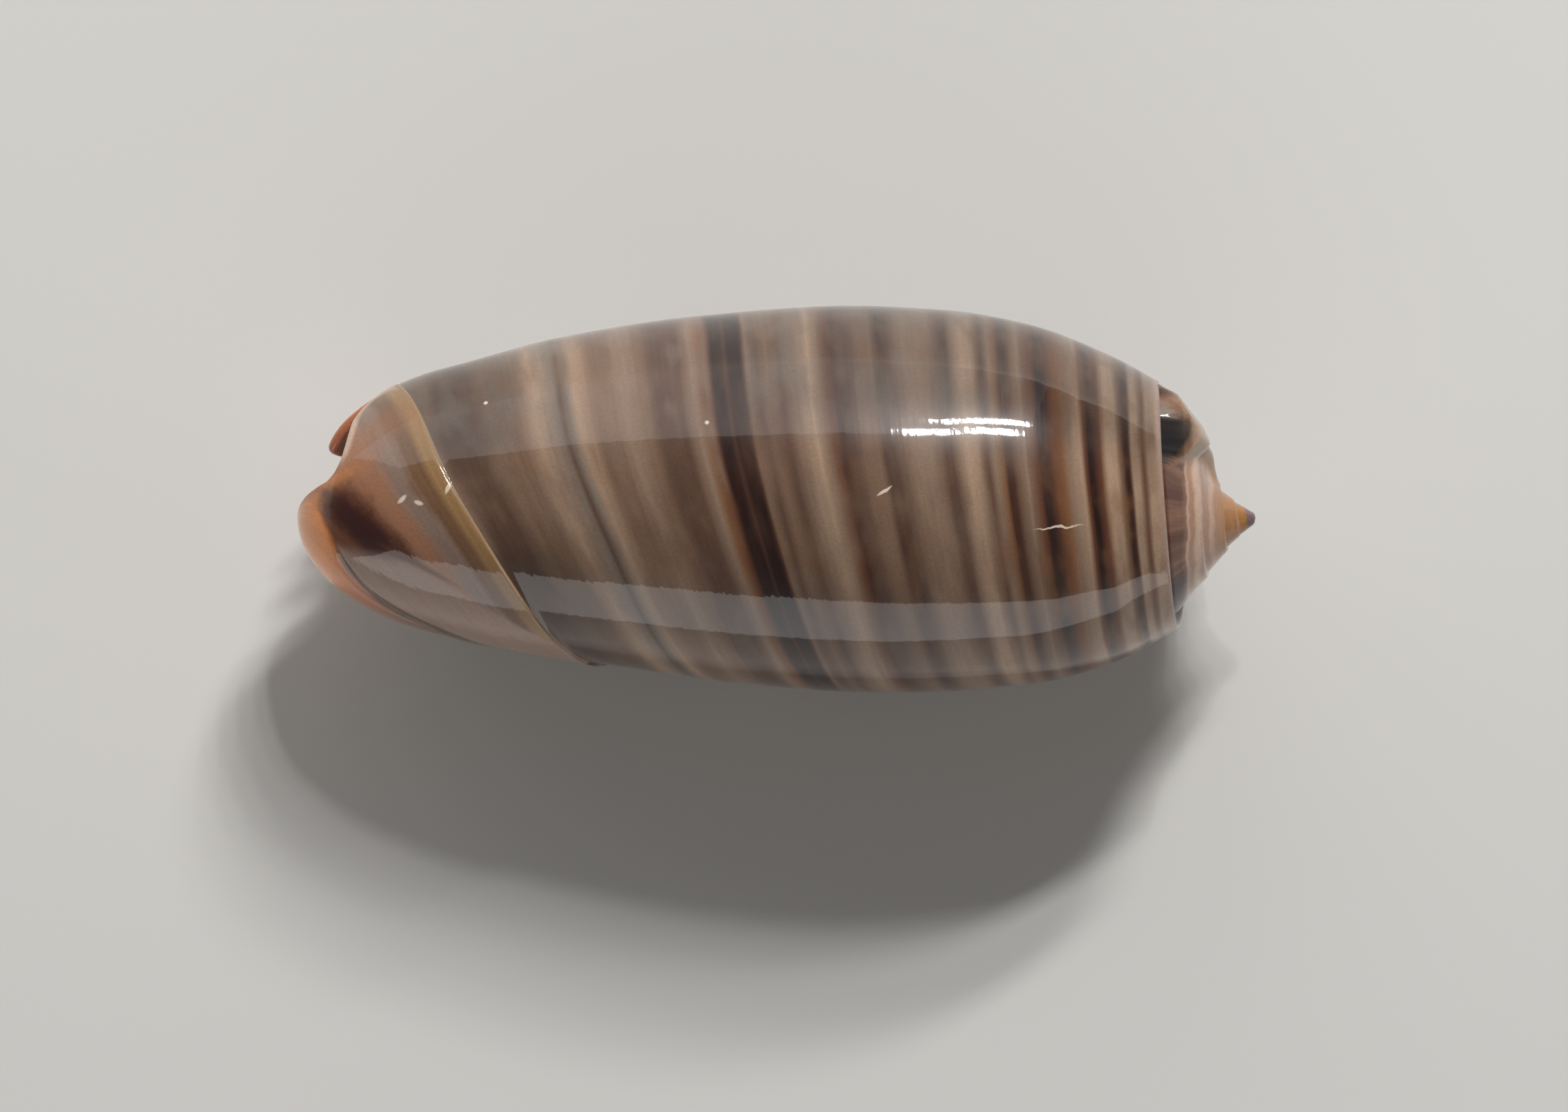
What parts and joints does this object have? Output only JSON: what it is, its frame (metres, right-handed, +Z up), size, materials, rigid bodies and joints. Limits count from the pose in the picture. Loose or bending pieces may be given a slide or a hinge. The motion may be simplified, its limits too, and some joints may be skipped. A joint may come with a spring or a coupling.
{
  "type": "olive shell",
  "caption": "Glossy cylindrical olive shell with a low spire, an open suture channel, a long narrow aperture and a notched front end.",
  "frame": {"origin": "bottom centre of the bounding box, on the plane that the shell rests on", "axes": "+X along the coiling axis towards the spire, +Y towards the side of the outer lip, +Z up through the back of the shell"},
  "size_m": [0.042, 0.017, 0.0151],
  "materials": {
    "shell": "polished natural shell, brown-grey with darker growth bands across it and an orange-brown front end"
  },
  "bodies": {
    "root": {"shell": "shell"}
  },
  "joints": []
}
